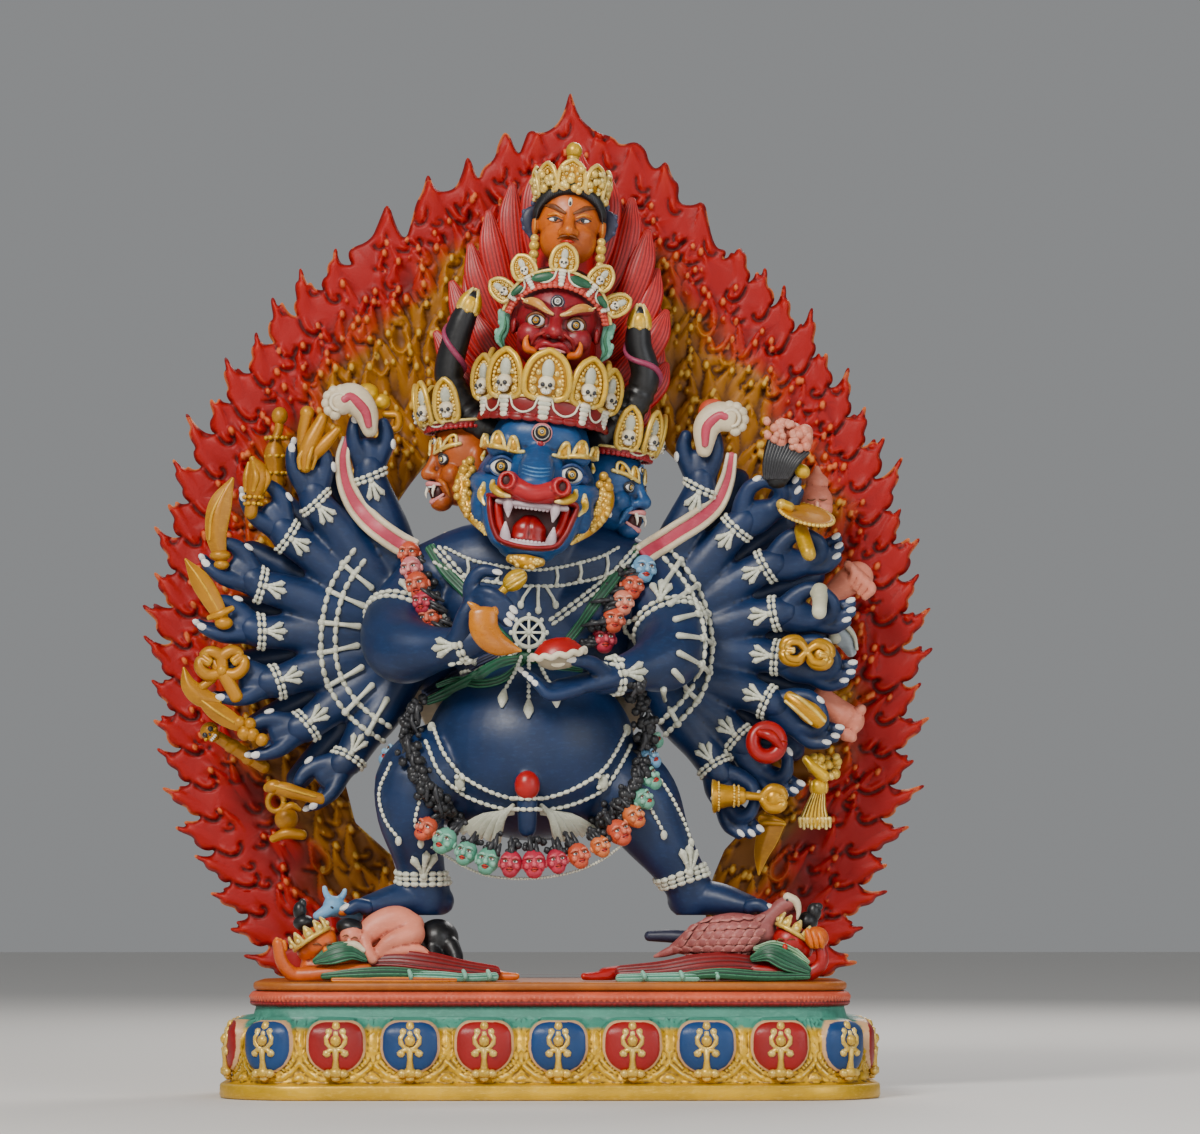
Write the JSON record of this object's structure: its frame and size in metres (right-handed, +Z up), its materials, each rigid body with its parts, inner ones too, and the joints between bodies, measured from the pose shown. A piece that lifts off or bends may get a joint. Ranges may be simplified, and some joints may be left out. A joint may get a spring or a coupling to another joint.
{
  "type": "yamantaka statue",
  "caption": "Painted altar statue of a buffalo-headed, many-armed wrathful figure striding on a lotus plinth before a pointed ring of flames.",
  "frame": {"origin": "centre of the plinth's flat underside", "axes": "+Z up, +Y to the back, the figure faces -Y"},
  "size_m": [0.6122, 0.2684, 0.764],
  "materials": {
    "plinth_paint": "gold, green and red matte paint over a moulded body, brushed by hand",
    "flame_paint": "red paint brushed over gold, pale on the raised edges, dark in the hollows",
    "blue_paint": "deep blue matte mineral paint with a soft sheen",
    "skin_paint": "pink matte paint",
    "cream_paint": "cream matte paint with dark wash in the grooves",
    "red_paint": "red paint, slightly glossy",
    "gold_paint": "gold paint, satin, stippled by brush"
  },
  "bodies": {
    "root": {"brain_with_hair": "skin_paint", "bud_mace": "gold_paint", "chopper": "gold_paint", "crescent_axe": "gold_paint", "curved_blade": "gold_paint", "figure": "blue_paint", "flame_aureole": "flame_paint", "flat_stick": "gold_paint", "gold_drum": "gold_paint", "gold_vajra": "gold_paint", "grey_axe": "cream_paint", "hand_bell": "gold_paint", "hanging_banner": "gold_paint", "leaf_dagger": "gold_paint", "noose": "red_paint", "plinth": "plinth_paint", "severed_fist": "skin_paint", "severed_foot": "skin_paint", "short_dagger": "gold_paint", "skull_cup": "cream_paint", "skull_staff": "gold_paint", "small_vajra": "gold_paint", "tall_club": "gold_paint", "topknot_head": "skin_paint", "trampled_group_left": "skin_paint", "trampled_group_right": "skin_paint", "triangular_blade": "gold_paint", "trident_head": "gold_paint", "wheel_disc": "gold_paint", "white_peg": "cream_paint"}
  },
  "joints": []
}
